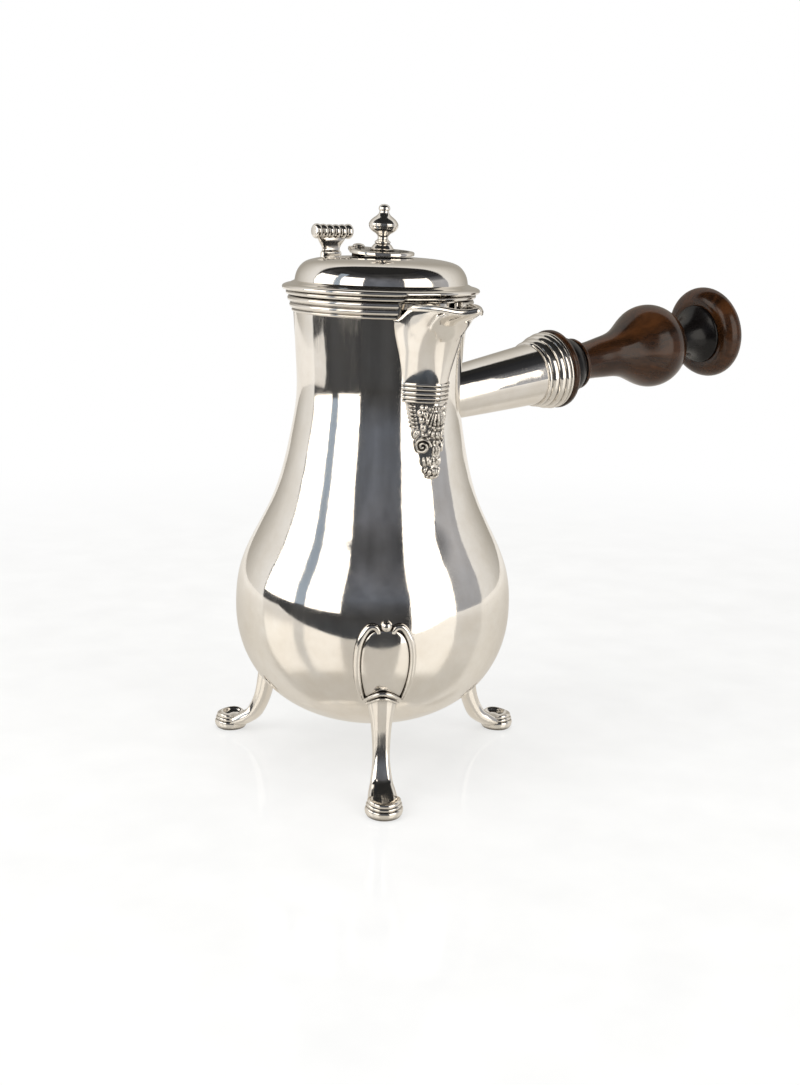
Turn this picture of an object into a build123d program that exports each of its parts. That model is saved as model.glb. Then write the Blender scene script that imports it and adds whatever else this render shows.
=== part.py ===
"""Chocolate pot on three legs: a raised silver pear with a beak spout, a side handle of
turned wood, and a hinged lid whose stirring hole is closed by a swivelling cover.

Millimetres, +Z up. While the pieces are built the pot's own axis is Z, the table is z = 0,
the handle points along +X, the spout along -Y, and the lid hinge is at +Y. On export the
whole pot moves sideways so that the origin is the middle of its outline on the table.
"""
from build123d import *
import os
from math import cos, pi, radians, sin, sqrt

os.makedirs("parts", exist_ok=True)

# ---- Driving dimensions -------------------------------------------------------------

SILVER = 1.0                    # wall of the raised and rolled silver pieces
SLIDE = 0.3                     # air between pieces that move past each other
SOLDER = 0.05                   # film between the vessel and a piece soldered to it
PIN_FIT = 0.05                  # radial clearance of a turning pin

# Vessel: outside radius and height, from the middle of the bottom to the mouth.
RIM_Z = 208.9
NECK_RADIUS = 36.5
BELLY_RADIUS = 60.9
VESSEL_OUTLINE = [(0, 19.6), (20.2, 21.5), (36.8, 28.0), (49.5, 38.5), (57.0, 50.8),
                  (60.4, 63.4), (BELLY_RADIUS, 75.0), (59.4, 87.1), (53.3, 102.5),
                  (45.5, 118.6), (40.4, 135.1), (37.4, 150.1), (35.9, 167.5),
                  (36.2, 184.2), (NECK_RADIUS, 200.7), (NECK_RADIUS, RIM_Z)]

# Rim moulding: four reeds below the mouth, each (top, bottom, outside radius).
RIM_REEDS = [(208.9, 207.2, 40.6), (207.2, 204.2, 39.9), (204.2, 201.5, 38.8),
             (201.5, 199.8, 37.8)]
REED_SWELL = 0.6                # how far a reed bulges past its two edges

# Lid
LID_Z = RIM_Z + SLIDE           # underside of the lid flange
FLANGE_RADIUS = 42.3
DOME_FOOT_RADIUS = 37.0
DOME_FOOT_Z = 212.9
DOME_OUTLINE = [(36.3, 216.4), (34.6, 219.6), (31.2, 221.8), (25.0, 222.8), (12.0, 223.6)]
DOME_TOP_Z = 223.8
BEZEL_RADIUS = NECK_RADIUS - SILVER - 0.4
BEZEL_DEPTH = 5.4
STIRRING_HOLE_RADIUS = 6.3

# Swivelling cover of the stirring hole
COVER_RADIUS = 13.8
COVER_THICKNESS = 1.7
COVER_TILT = 2.8                # degrees; the pivot side stands on a washer
COVER_Z = 224.5                 # underside of the cover on the pot's axis
PIVOT_Y = 18.0
PIVOT_RADIUS = 1.2
PIVOT_HEAD_RADIUS = 2.6
PIVOT_TAIL = 3.42               # from the cover's underside down to the rivet's tail
EAR_RADIUS = 4.6

# Lid hinge and thumbpiece
HINGE_Y = 45.2
HINGE_Z = 209.6
HINGE_PIN_RADIUS = 0.9
KNUCKLE_RADIUS = 2.4
KNUCKLE_LENGTH = 3.4
KNUCKLES = 5                    # the odd ones belong to the pot, the even ones to the lid
KNUCKLE_GAP = 0.15              # air on each side of a lid knuckle
THUMB_Y = 38.9
ROLL_Z = 232.9
ROLL_RADIUS = 3.4
ROLL_LENGTH = 19.5
ROLL_LOBES = 6

# Handle: a tapered silver socket and a turned wooden handle on one rising axis.
# Distances along it are measured from the pot's axis.
HANDLE_Z = 157.4                # where the handle's axis would meet the pot's axis
HANDLE_RISE = 8.26              # degrees
SOCKET_ROOT = 30.0
SOCKET_ROOT_RADIUS = 10.9
SOCKET_END = 99.2
SOCKET_END_RADIUS = 15.0
TENON_START = 64.0
FERRULE_START = 86.5
FERRULE_OUTLINE = [(86.5, 15.2), (88.3, 15.4), (88.6, 15.0), (92.6, 16.5), (92.9, 17.2),
                   (94.8, 17.3), (95.1, 17.0), (96.6, 17.9), (98.3, 17.6), (99.2, 17.3)]
WOOD_FLANGE = [(99.2, 17.5), (102.2, 17.1)]
WOOD_COVE = [(102.4, 13.2), (106.5, 13.9), (110.5, 13.0), (113.4, 11.6)]
WOOD_BEAD = [(113.6, 12.0), (115.2, 11.7)]
WOOD_BULB = [(116.2, 8.9), (122.4, 8.8), (131.7, 9.7), (140.2, 10.9), (147.0, 13.4),
             (153.7, 17.1), (162.5, 20.15), (169.5, 19.2), (175.4, 15.6), (180.5, 9.2)]
WOOD_NECK = [(181.0, 8.2), (188.0, 7.4), (193.0, 8.6), (198.6, 11.3)]
WOOD_KNOB = [(199.2, 12.5), (200.2, 18.6), (204.0, 22.7), (208.4, 19.4), (211.2, 8.0),
             (211.6, 0.0)]
HANDLE_PIN_AT = 91.0
HANDLE_PIN_RADIUS = 1.1
HANDLE_PIN_DEPTH = 9.0

# Spout. Each level is (height, half width at the wall, how far the keel stands from the
# pot's axis, fullness): a fullness of 2 is a half ellipse, and nearer 1 is a pointed arch.
BEAK_LEVELS = [(166.8, 10.9, 43.5, 1.9), (174.5, 11.6, 44.0, 1.9), (182.0, 13.0, 45.4, 1.8),
               (188.0, 14.3, 47.2, 1.7), (193.0, 15.1, 49.6, 1.6), (197.2, 15.5, 53.2, 1.45),
               (200.4, 15.7, 58.6, 1.3), (203.2, 15.7, 64.4, 1.22), (206.3, 15.7, 68.2, 1.18)]
DROP_LEVELS = [(133.8, 1.2, 41.4, 1.9), (142.0, 5.2, 42.6, 1.9), (150.0, 7.5, 43.2, 1.9),
               (158.8, 9.5, 43.6, 1.9), (166.8, 10.9, 43.5, 1.9)]
LIP_Z = 206.0
WING_Z = 199.8                  # the lip's edge slopes down to here at the neck
WING_REACH = 43.0               # and is level again this far from the pot's axis
LIP_WIRE_HEIGHT = 1.8
LIP_WIRE = 0.9                  # how far each applied strip stands off the spout
BAND_Z = (166.8, 174.4)
BAND_PROUD = 0.8
DROP_PROUD = 0.7
MOUTH_TOP_Z = 206.3             # top of the opening behind the spout
SPOUT_ROOT = 28.0               # inner end of the spout's sections, inside the vessel

# Legs: angle from the handle, seen from above. They are not quite evenly spaced.
LEG_ANGLES = {"handle_leg": -3.0, "back_leg": 121.0, "front_leg": -119.5}
# Each station: distance out, height, width, thickness, slope of the leg there in degrees.
LEG_STATIONS = [(53.0, 49.5, 14.2, 9.0, -84), (52.2, 43.5, 13.4, 9.2, -87),
                (52.0, 33.5, 9.0, 8.8, -89), (52.8, 25.0, 6.4, 7.6, -80), (54.6, 18.0, 6.0, 6.8, -68),
                (58.0, 11.8, 6.6, 6.3, -55), (62.8, 7.0, 8.8, 6.2, -38),
                (68.4, 4.2, 12.2, 6.8, -18), (74.0, 3.5, 14.6, 7.4, -2),
                (78.8, 2.6, 9.6, 4.2, 0)]
LEG_ROUNDING = 0.4              # corner radius as a share of the thinner way across
# Half outline of the shield where a leg meets the vessel: half width and height.
SHIELD_OUTLINE = [(7.7, 44.4), (10.5, 50.5), (12.1, 56.6), (12.75, 63.0), (11.9, 70.8),
                  (9.6, 76.6), (6.0, 78.8), (2.4, 77.4), (0, 77.0)]
SHIELD_FIELD = [(5.2, 46.6), (9.2, 57.5), (9.9, 64.0), (8.4, 71.4), (4.4, 74.9), (0, 75.3)]
SHIELD_FIELD_PROUD = 1.2
SHIELD_BORDER_PROUD = 2.3
SHIELD_BEAD_RADIUS = 1.9
SHIELD_BEAD_Z = 77.6


# ---- Helpers ------------------------------------------------------------------------

def turned(edges, axis=Axis.Z, plane=Plane.XZ):
    """Solid of revolution from a closed outline drawn as (radius, height)."""
    return revolve(make_face(plane * edges), axis)


def tube(outer, inner, bottom, top):
    """Upright ring about the pot's axis."""
    height = top - bottom
    ring = Cylinder(outer, height) - Cylinder(inner, height)
    return Pos(0, 0, (top + bottom) / 2) * ring


def slab(bottom, top, size=400):
    """Everything between two heights."""
    return Pos(0, 0, (top + bottom) / 2) * Box(size, size, top - bottom)


def vessel_curve(outward=0.0):
    """The vessel's outside outline, moved along its own normal."""
    base = Spline(*VESSEL_OUTLINE, tangents=[(1, 0), (0, 1)])
    if outward == 0:
        return base
    moved = []
    for step in range(31):
        along = base % (step / 30)
        moved.append(base @ (step / 30) + Vector(along.Y, -along.X) * outward)
    moved[0] = Vector(0, moved[0].Y)
    moved[-1] = Vector(moved[-1].X, RIM_Z)
    return Spline(*moved, tangents=[(1, 0), (0, 1)])


def vessel_solid(outward=0.0):
    """The vessel as a filled solid, grown by the given distance."""
    curve = vessel_curve(outward)
    closing = Polyline(curve @ 1, (0, RIM_Z), curve @ 0)
    return turned(curve + closing)


def vessel_shell(inner, outer):
    """The layer between two distances from the vessel's outside."""
    inside = vessel_curve(inner)
    outside = vessel_curve(outer)
    edges = outside + Line(outside @ 1, inside @ 1) + inside + Line(inside @ 0, outside @ 0)
    return turned(edges)


def on_handle_axis(piece):
    """Moves a piece made along +X from the origin onto the handle's rising axis."""
    return Pos(0, 0, HANDLE_Z) * Rot(0, -HANDLE_RISE, 0) * piece


def turned_on_handle(edges):
    """Solid of revolution about the handle's axis; the outline is (along, radius)."""
    return on_handle_axis(revolve(make_face(edges), Axis.X))


def socket_radius(along):
    """Outside radius of the tapered handle socket."""
    share = (along - SOCKET_ROOT) / (SOCKET_END - SOCKET_ROOT)
    return SOCKET_ROOT_RADIUS + (SOCKET_END_RADIUS - SOCKET_ROOT_RADIUS) * share


def handle_pin_solid(radius):
    """The pin that holds the wooden handle, entering from below."""
    depth = HANDLE_PIN_DEPTH
    top = -(FERRULE_OUTLINE[3][1] - 0.4) + depth
    return on_handle_axis(Pos(HANDLE_PIN_AT, 0, top - depth / 2) * Cylinder(radius, depth))


# ---- Vessel and rim -----------------------------------------------------------------

def spout_section(level, proud):
    """One level of the spout: a pointed arch that closes inside the vessel."""
    height, half_width, keel, fullness = level
    root = sqrt(NECK_RADIUS ** 2 - half_width ** 2) - 2.0
    half_width = half_width + proud
    steepness = 1 + 1.5 * max(0.0, keel - 44) / 24
    keel = keel + proud * steepness
    arch = []
    for step in range(9):
        turn = pi * step / 8
        side = abs(cos(turn)) ** (2 / fullness) * half_width
        side = side if turn < pi / 2 else -side
        out = root + (keel - root) * sin(turn) ** (2 / fullness)
        arch.append((side, -out))
    curve = Spline(*arch, tangents=[(0, -1), (0, 1)])
    closing = Polyline(curve @ 1, (-half_width, -SPOUT_ROOT), (half_width, -SPOUT_ROOT),
                       curve @ 0)
    return Pos(0, 0, height) * make_face(curve + closing)


def spout_solid(levels, proud=0.0):
    """The spout's filled form between its first and last level."""
    return loft([spout_section(level, proud) for level in levels])


def pouring_channel():
    """The space inside the spout, which also opens the vessel's wall."""
    channel = spout_solid(BEAK_LEVELS, -SILVER)
    return channel & slab(BAND_Z[0] + SILVER, MOUTH_TOP_Z)


def make_vessel():
    shell = vessel_shell(-SILVER, 0)
    return shell - pouring_channel()


def reed(top, bottom, radius):
    """Half-round moulding round the mouth; its back is at the pot's axis."""
    edge = radius - REED_SWELL
    bulge = ThreePointArc((edge, bottom), (radius, (top + bottom) / 2), (edge, top))
    closing = Polyline((edge, top), (0, top), (0, bottom), (edge, bottom))
    return turned(bulge + closing)


def rim_reeds():
    """All the reeds, filled in to the pot's axis."""
    reeds = reed(*RIM_REEDS[0])
    for lower_reed in RIM_REEDS[1:]:
        reeds += reed(*lower_reed)
    return reeds


def make_rim_moulding():
    gap = spout_solid(BEAK_LEVELS) & slab(BAND_Z[0], MOUTH_TOP_Z)
    return rim_reeds() - vessel_solid(SOLDER) - gap


# ---- Spout --------------------------------------------------------------------------

def above_wings():
    """Everything above the sloping edges of the spout's two wings, and above the lip."""
    rise = LIP_Z - WING_Z
    reach = WING_REACH - NECK_RADIUS
    outline = Polyline((-SPOUT_ROOT, WING_Z), (-NECK_RADIUS, WING_Z),
                       (-NECK_RADIUS - reach, WING_Z + rise), (-90, LIP_Z), (-90, 230),
                       (-SPOUT_ROOT, 230), close=True)
    return extrude(make_face(Plane.YZ * outline), 30, both=True)


def make_spout_beak():
    walls = spout_solid(BEAK_LEVELS) - pouring_channel()
    return walls - vessel_solid() - above_wings()


def make_spout_lip_wire():
    """Strip applied round the edge of the lip."""
    strip = spout_solid(BEAK_LEVELS, LIP_WIRE) - spout_solid(BEAK_LEVELS)
    height = LIP_WIRE_HEIGHT
    edge = Pos(0, -90, LIP_Z - height / 2) * Box(60, 2 * (90 - WING_REACH), height)
    return strip & edge


def make_spout_band():
    """Reeded strip round the foot of the spout."""
    strip = spout_solid(BEAK_LEVELS, BAND_PROUD) - spout_solid(BEAK_LEVELS)
    return strip & slab(*BAND_Z) - vessel_solid(SOLDER)


def make_spout_drop():
    """Cast leafage that closes the spout below the band."""
    return spout_solid(DROP_LEVELS, DROP_PROUD) - vessel_solid(SOLDER)


# ---- Legs ---------------------------------------------------------------------------

def leg_station(out, height, width, thickness, slope):
    """Rounded section across the leg, standing square to its slope."""
    direction = Vector(cos(radians(slope)), 0, sin(radians(slope)))
    plane = Plane(origin=(out, 0, height), x_dir=(0, 1, 0), z_dir=direction)
    corner = LEG_ROUNDING * min(width, thickness)
    return plane * RectangleRounded(width, thickness, corner)


def mirrored_face(half):
    """Face in the YZ plane from half an outline, which is listed from its foot up."""
    right = Spline(*half)
    left = mirror(right, Plane.YZ)
    bottom = Line(left @ 0, right @ 0)
    return make_face(Plane.YZ * (right + left + bottom))


def make_leg():
    """Cast cabriole leg with its shield, standing along +X."""
    limb = loft([leg_station(*station) for station in LEG_STATIONS])
    limb = limb & slab(0, 60)
    outward = (1, 0, 0)
    shield = extrude(mirrored_face(SHIELD_OUTLINE), 90, outward)
    shield = shield & vessel_shell(SOLDER, SHIELD_BORDER_PROUD)
    hollow = extrude(mirrored_face(SHIELD_FIELD), 90, outward)
    hollow = hollow & vessel_shell(SHIELD_FIELD_PROUD, SHIELD_BORDER_PROUD + 1)
    bead_out = BELLY_RADIUS + SHIELD_FIELD_PROUD
    bead = Pos(bead_out, 0, SHIELD_BEAD_Z) * Sphere(SHIELD_BEAD_RADIUS)
    return limb + (shield - hollow) + bead - vessel_solid(SOLDER)


# ---- Handle -------------------------------------------------------------------------

def make_handle_socket():
    start, end = SOCKET_ROOT, SOCKET_END
    outline = Polyline((start, socket_radius(start)), (end, socket_radius(end)),
                       (end, socket_radius(end) - SILVER),
                       (start, socket_radius(start) - SILVER), close=True)
    socket = turned_on_handle(outline)
    return socket - vessel_solid(SOLDER) - handle_pin_solid(HANDLE_PIN_RADIUS)


def make_socket_ferrule():
    start, end = FERRULE_START, SOCKET_END
    outline = Polyline((start, socket_radius(start)), *FERRULE_OUTLINE,
                       (end, socket_radius(end)), close=True)
    return turned_on_handle(outline) - handle_pin_solid(HANDLE_PIN_RADIUS)


def make_wooden_handle():
    start, end = TENON_START, SOCKET_END
    tenon = Polyline((start, 0), (start, socket_radius(start) - SILVER),
                     (end, socket_radius(end) - SILVER), WOOD_FLANGE[0], WOOD_FLANGE[1],
                     WOOD_COVE[0])
    cove = Spline(*WOOD_COVE)
    bead = Polyline(WOOD_COVE[-1], *WOOD_BEAD, WOOD_BULB[0])
    bulb = Spline(*WOOD_BULB)
    neck = Line(WOOD_BULB[-1], WOOD_NECK[0]) + Spline(*WOOD_NECK)
    knob = Line(WOOD_NECK[-1], WOOD_KNOB[0]) + Spline(*WOOD_KNOB, tangents=[(0.2, 1), (0, -1)])
    axis = Line(WOOD_KNOB[-1], (start, 0))
    handle = turned_on_handle(tenon + cove + bead + bulb + neck + knob + axis)
    return handle - handle_pin_solid(HANDLE_PIN_RADIUS)


# ---- Lid ----------------------------------------------------------------------------

def tilted_on_lid(piece):
    """Sets a piece made flat on z = 0 onto the lid, with the cover's tilt."""
    return Pos(0, 0, COVER_Z) * Rot(COVER_TILT, 0, 0) * piece


def dome_curve(inward):
    """The dome's outline from its foot to the lid's centre."""
    points = [(DOME_FOOT_RADIUS, DOME_FOOT_Z)] + DOME_OUTLINE + [(0, DOME_TOP_Z)]
    return Spline(*[(max(radius - inward, 0), height - inward if radius < 36.5 else height)
                    for radius, height in points])


def make_lid_dome():
    outside = dome_curve(0)
    inside = dome_curve(SILVER)
    closing = Line(outside @ 1, inside @ 1) + Line(inside @ 0, outside @ 0)
    dome = turned(outside + inside + closing)
    hole = Pos(0, 0, DOME_TOP_Z) * Cylinder(STIRRING_HOLE_RADIUS, 12)
    pivot = tilted_on_lid(Pos(0, PIVOT_Y, -2) * Cylinder(PIVOT_RADIUS, 8))
    return dome - hole - pivot


def make_lid_flange():
    """Moulded edge ring that the dome stands on."""
    inner = BEZEL_RADIUS - SILVER
    cyma = Spline((DOME_FOOT_RADIUS, DOME_FOOT_Z), (39.2, 211.9), (FLANGE_RADIUS - 0.5, 211.0),
                  tangents=[(1, -0.1), (1, -0.5)])
    nose = ThreePointArc((FLANGE_RADIUS - 0.5, 211.0), (FLANGE_RADIUS, 210.3),
                         (FLANGE_RADIUS - 0.7, LID_Z))
    closing = Polyline((FLANGE_RADIUS - 0.7, LID_Z), (inner, LID_Z), (inner, DOME_FOOT_Z),
                       (DOME_FOOT_RADIUS, DOME_FOOT_Z))
    return turned(cyma + nose + closing)


def make_lid_bezel():
    """Ring under the lid that centres it in the mouth."""
    return tube(BEZEL_RADIUS, BEZEL_RADIUS - SILVER, LID_Z - BEZEL_DEPTH, LID_Z)


# ---- Swivelling cover ---------------------------------------------------------------

def make_swivel_cover():
    """Drop-shaped plate: a disc over the hole and an ear for the pivot."""
    disc = Circle(COVER_RADIUS)
    ear = Pos(0, PIVOT_Y) * Circle(EAR_RADIUS)
    plate = extrude(make_hull(disc.edges() + ear.edges()), COVER_THICKNESS)
    upper_edges = plate.edges().group_by(Axis.Z)[-1]
    plate = fillet(upper_edges, 0.6)
    hole = Pos(0, PIVOT_Y, 0) * Cylinder(PIVOT_RADIUS + PIN_FIT, 10)
    return tilted_on_lid(plate - hole)


def make_finial():
    """Turned baluster finial, drawn as (radius, height above the cover's top)."""
    bell = Polyline((0, 0), (5.2, 0), (5.2, 0.7)) + Spline((5.2, 0.7), (4.2, 2.2), (3.3, 2.9))
    ring = ThreePointArc((3.3, 2.9), (3.4, 3.4), (3.0, 3.9))
    stem = Spline((3.0, 3.9), (2.1, 4.7), (2.1, 5.9), (2.7, 6.8), (4.0, 7.8))
    bulb = Spline((4.0, 7.8), (5.5, 8.8), (6.2, 10.8), (5.3, 12.9), (3.4, 14.4), (2.0, 15.8))
    collar = ThreePointArc((2.0, 15.8), (2.35, 16.4), (1.7, 17.0))
    neck = Line((1.7, 17.0), (1.0, 17.5))
    cap = Spline((1.0, 17.5), (1.9, 18.3), (1.4, 19.0), (0, 19.2))
    outline = bell + ring + stem + bulb + collar + neck + cap + Line((0, 19.2), (0, 0))
    return tilted_on_lid(Pos(0, 0, COVER_THICKNESS) * turned(outline))


def make_cover_pivot():
    """Button-headed rivet, square to the cover, that the cover turns on."""
    tail_radius = PIVOT_RADIUS + 0.9
    tail_top = -PIVOT_TAIL
    head_foot = COVER_THICKNESS + 0.25
    shank = Polyline((0, tail_top - 0.8), (tail_radius, tail_top - 0.8),
                     (tail_radius, tail_top), (PIVOT_RADIUS, tail_top),
                     (PIVOT_RADIUS, head_foot), (PIVOT_HEAD_RADIUS, head_foot),
                     (PIVOT_HEAD_RADIUS, head_foot + 0.7))
    crown = Spline((PIVOT_HEAD_RADIUS, head_foot + 0.7), (1.7, head_foot + 1.6),
                   (0, head_foot + 1.9), tangents=[(0, 1), (-1, 0)])
    rivet = turned(shank + crown + Line(crown @ 1, shank @ 0))
    return tilted_on_lid(Pos(0, PIVOT_Y, 0) * rivet)


def make_pivot_washer():
    """Spacer that lifts the cover's ear clear of the dome."""
    ring = Cylinder(2.8, 4) - Cylinder(PIVOT_RADIUS, 4)
    column = tilted_on_lid(Pos(0, PIVOT_Y, -2 - SLIDE) * ring)
    outside = dome_curve(0)
    filled = turned(outside + Polyline(outside @ 1, (0, DOME_FOOT_Z), outside @ 0))
    return column - filled


# ---- Lid hinge and thumbpiece -------------------------------------------------------

def knuckle_middles(parity):
    """Middles, along X, of the knuckles of one leaf."""
    first = -(KNUCKLES - 1) / 2 * KNUCKLE_LENGTH
    return [first + index * KNUCKLE_LENGTH for index in range(KNUCKLES) if index % 2 == parity]


def along_hinge(radius, length, middle=0.0):
    """Cylinder on the hinge's axis."""
    return Pos(middle, HINGE_Y, HINGE_Z) * Rot(0, 90, 0) * Cylinder(radius, length)


def make_hinge_body_leaf():
    """Leaf soldered to the rim moulding, with three knuckles."""
    width = KNUCKLES * KNUCKLE_LENGTH
    web = Pos(0, 40.6, 205.6) * Box(width, 9.2, 6.0)
    leaf = web & (Pos(0, 34.5, 208.6) * Rot(0, 90, 0) * Cylinder(11.4, width))
    for middle in knuckle_middles(0):
        leaf += along_hinge(KNUCKLE_RADIUS, KNUCKLE_LENGTH, middle)
    for middle in knuckle_middles(1):
        leaf -= along_hinge(KNUCKLE_RADIUS + SLIDE, KNUCKLE_LENGTH, middle)
    leaf = leaf - along_hinge(HINGE_PIN_RADIUS, 40)
    return leaf - rim_reeds() - vessel_solid(SOLDER)


def make_hinge_lid_leaf():
    """Leaf soldered to the lid flange, with two knuckles."""
    length = KNUCKLE_LENGTH - 2 * KNUCKLE_GAP
    leaf = Pos(0, 39.9, 212.3) * Box(11.6, 4.4, 2.6)
    for middle in knuckle_middles(1):
        leaf += along_hinge(KNUCKLE_RADIUS, length, middle)
        leaf += Pos(middle, 43.3, 211.1) * Box(length, 3.8, 1.8)
    dome_foot = Pos(0, 0, 212.5) * Cylinder(DOME_FOOT_RADIUS, 10)
    leaf = leaf - dome_foot - make_lid_flange()
    return leaf - along_hinge(HINGE_PIN_RADIUS + PIN_FIT, 40)


def make_hinge_pin():
    return along_hinge(HINGE_PIN_RADIUS, KNUCKLES * KNUCKLE_LENGTH + 0.8)


def make_thumbpiece():
    """Fluted roll on a waisted stem, which lifts the lid."""
    half = [(6.2, 213.6), (5.3, 219.5), (5.2, 225.5), (8.2, ROLL_Z - 2.2)]
    right = Spline(*half)
    left = mirror(right, Plane.YZ)
    face = make_face(right + left + Line(left @ 0, right @ 0) + Line(left @ 1, right @ 1))
    stem = Pos(0, THUMB_Y + 2.3, 0) * extrude(Plane.XZ * face, 2.3)
    lobe_length = ROLL_LENGTH / ROLL_LOBES
    start = -ROLL_LENGTH / 2
    edge = ROLL_RADIUS - 0.7
    outline = Line((start, 0), (start, edge))
    for index in range(ROLL_LOBES):
        left_end = start + index * lobe_length
        outline += ThreePointArc((left_end, edge), (left_end + lobe_length / 2, ROLL_RADIUS),
                                 (left_end + lobe_length, edge))
    outline += Polyline((-start, edge), (-start, 0), (start, 0))
    roll = Pos(0, THUMB_Y, ROLL_Z) * revolve(make_face(outline), Axis.X)
    return stem + roll


# ---- Assembly -----------------------------------------------------------------------

pieces = {
    "vessel": make_vessel(),
    "rim_moulding": make_rim_moulding(),
    "spout_beak": make_spout_beak(),
    "spout_lip_wire": make_spout_lip_wire(),
    "spout_band": make_spout_band(),
    "spout_drop": make_spout_drop(),
    "handle_socket": make_handle_socket(),
    "socket_ferrule": make_socket_ferrule(),
    "wooden_handle": make_wooden_handle(),
    "handle_pin": handle_pin_solid(HANDLE_PIN_RADIUS),
    "hinge_body_leaf": make_hinge_body_leaf(),
    "hinge_pin": make_hinge_pin(),
    "hinge_lid_leaf": make_hinge_lid_leaf(),
    "lid_dome": make_lid_dome(),
    "lid_flange": make_lid_flange(),
    "lid_bezel": make_lid_bezel(),
    "thumbpiece": make_thumbpiece(),
    "cover_pivot": make_cover_pivot(),
    "pivot_washer": make_pivot_washer(),
    "swivel_cover": make_swivel_cover(),
    "finial": make_finial(),
}
leg = make_leg()
for leg_name, angle in LEG_ANGLES.items():
    pieces[leg_name] = Rot(0, 0, angle) * leg

outline_box = Compound(children=[Part() + piece for piece in pieces.values()]).bounding_box()
middle = outline_box.center()
to_origin = Pos(-middle.X, -middle.Y, 0)
print(f"pot axis at x {-middle.X:.4f}, y {-middle.Y:.4f}")
print(f"whole pot: {outline_box.size}")

for name, piece in pieces.items():
    export_step(to_origin * piece, f"parts/{name}.step")
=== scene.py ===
"""Chocolate pot: the visual model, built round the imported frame.

The pieces come in the order a silversmith puts the pot together: body, rim, spout, legs,
handle, then the lid with its swinging cover. Sizes inside a section are millimetres from
the pot's own axis and the table; place() turns them into metres in the frame.
"""
from math import cos, pi, radians, sin, sqrt

import bmesh
import bpy
import numpy as np
from mathutils import Matrix, Vector


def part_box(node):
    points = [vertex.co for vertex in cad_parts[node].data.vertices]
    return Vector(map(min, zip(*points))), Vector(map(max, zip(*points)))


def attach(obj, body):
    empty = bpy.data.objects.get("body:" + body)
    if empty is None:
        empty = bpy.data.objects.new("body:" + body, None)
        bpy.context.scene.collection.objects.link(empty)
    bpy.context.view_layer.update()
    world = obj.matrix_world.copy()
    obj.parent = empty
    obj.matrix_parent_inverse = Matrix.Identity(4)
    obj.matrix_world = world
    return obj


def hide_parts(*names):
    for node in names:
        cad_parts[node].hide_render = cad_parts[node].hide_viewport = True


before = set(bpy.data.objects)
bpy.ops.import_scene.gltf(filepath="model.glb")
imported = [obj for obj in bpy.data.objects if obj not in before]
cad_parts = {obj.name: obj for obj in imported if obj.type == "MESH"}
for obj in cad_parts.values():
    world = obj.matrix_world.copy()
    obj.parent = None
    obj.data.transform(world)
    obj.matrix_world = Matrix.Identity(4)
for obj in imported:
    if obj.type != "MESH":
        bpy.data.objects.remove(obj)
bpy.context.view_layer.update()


# ---- Vessel ----
# The body is one sheet of silver raised by hammer over a stake into a pear, then planished
# and polished. The wall is about 1 mm, with an opening in the neck behind the spout.

VESSEL_OUTLINE = [
    (0, 19.6), (20.2, 21.5), (36.8, 28.0), (49.5, 38.5), (57.0, 50.8), (60.4, 63.4), (60.9, 75.0),
    (59.4, 87.1), (53.3, 102.5), (45.5, 118.6), (40.4, 135.1), (37.4, 150.1), (36.1, 158.0),
    (35.6, 163.0), (35.43, 167.0), (35.42, 169.5), (35.5, 172.0), (35.95, 180.0), (36.6, 190.0),
    (37.15, 198.0), (37.4, 202.0), (37.55, 208.9)]
WALL = 1.0
# The opening widens upwards like the spout: height and half width at its foot and its top.
OPENING_FOOT, FOOT_HALF = 168.5, 9.8
OPENING_TOP, TOP_HALF = 206.3, 14.5

bezel_low, bezel_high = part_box("lid_bezel")
pot_axis = (bezel_low + bezel_high) * 500
pot_axis.z = 0


def fair(points, per_span=8):
    """A smooth line through the points, with several steps between each two."""
    given = np.array(points, float)
    spans = np.linalg.norm(np.diff(given, axis=0), axis=1)
    count = len(given)
    system = np.eye(count)
    right = np.zeros_like(given)
    for i in range(1, count - 1):
        before, after = spans[i - 1], spans[i]
        system[i, i - 1:i + 2] = before, 2 * (before + after), after
        right[i] = 6 * ((given[i + 1] - given[i]) / after - (given[i] - given[i - 1]) / before)
    bend = np.linalg.solve(system, right)
    line = []
    for i in range(count - 1):
        span = spans[i]
        steps = per_span + (1 if i == count - 2 else 0)
        for step in range(steps):
            along = span * step / per_span
            left = span - along
            line.append((bend[i] * left ** 3 + bend[i + 1] * along ** 3) / (6 * span)
                        + (given[i] / span - bend[i] * span / 6) * left
                        + (given[i + 1] / span - bend[i + 1] * span / 6) * along)
    return [tuple(point) for point in line]


def fair_from_axis(points, per_span=8):
    """The same for an outline that starts on the axis, where it has to be level."""
    return fair([(-points[1][0], points[1][1])] + points, per_span)[per_span:]


def lathe(outline, steps, turn=2 * pi, start=0.0, closed=False):
    """Spins an outline of (radius, height) about the pot's axis."""
    bm = bmesh.new()
    heading = Vector((cos(start), sin(start), 0))
    verts = [bm.verts.new((heading.x * radius, heading.y * radius, height))
             for radius, height in outline]
    for pair in zip(verts, verts[1:]):
        bm.edges.new(pair)
    if closed:
        bm.edges.new((verts[-1], verts[0]))
    full = abs(turn - 2 * pi) < 1e-6
    bmesh.ops.spin(bm, geom=bm.verts[:] + bm.edges[:], cent=(0, 0, 0), axis=(0, 0, 1),
                   angle=turn, steps=steps, use_merge=full)
    bmesh.ops.remove_doubles(bm, verts=bm.verts, dist=1e-4)
    return bm


def face_out(bm):
    """Turns every face of a closed or nearly closed shape outwards."""
    bmesh.ops.recalc_face_normals(bm, faces=bm.faces)
    if bm.calc_volume(signed=True) < 0:
        bmesh.ops.reverse_faces(bm, faces=bm.faces)


def add_object(name, data):
    """A new object in the scene."""
    made = bpy.data.objects.new(name, data)
    bpy.context.scene.collection.objects.link(made)
    return made


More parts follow.
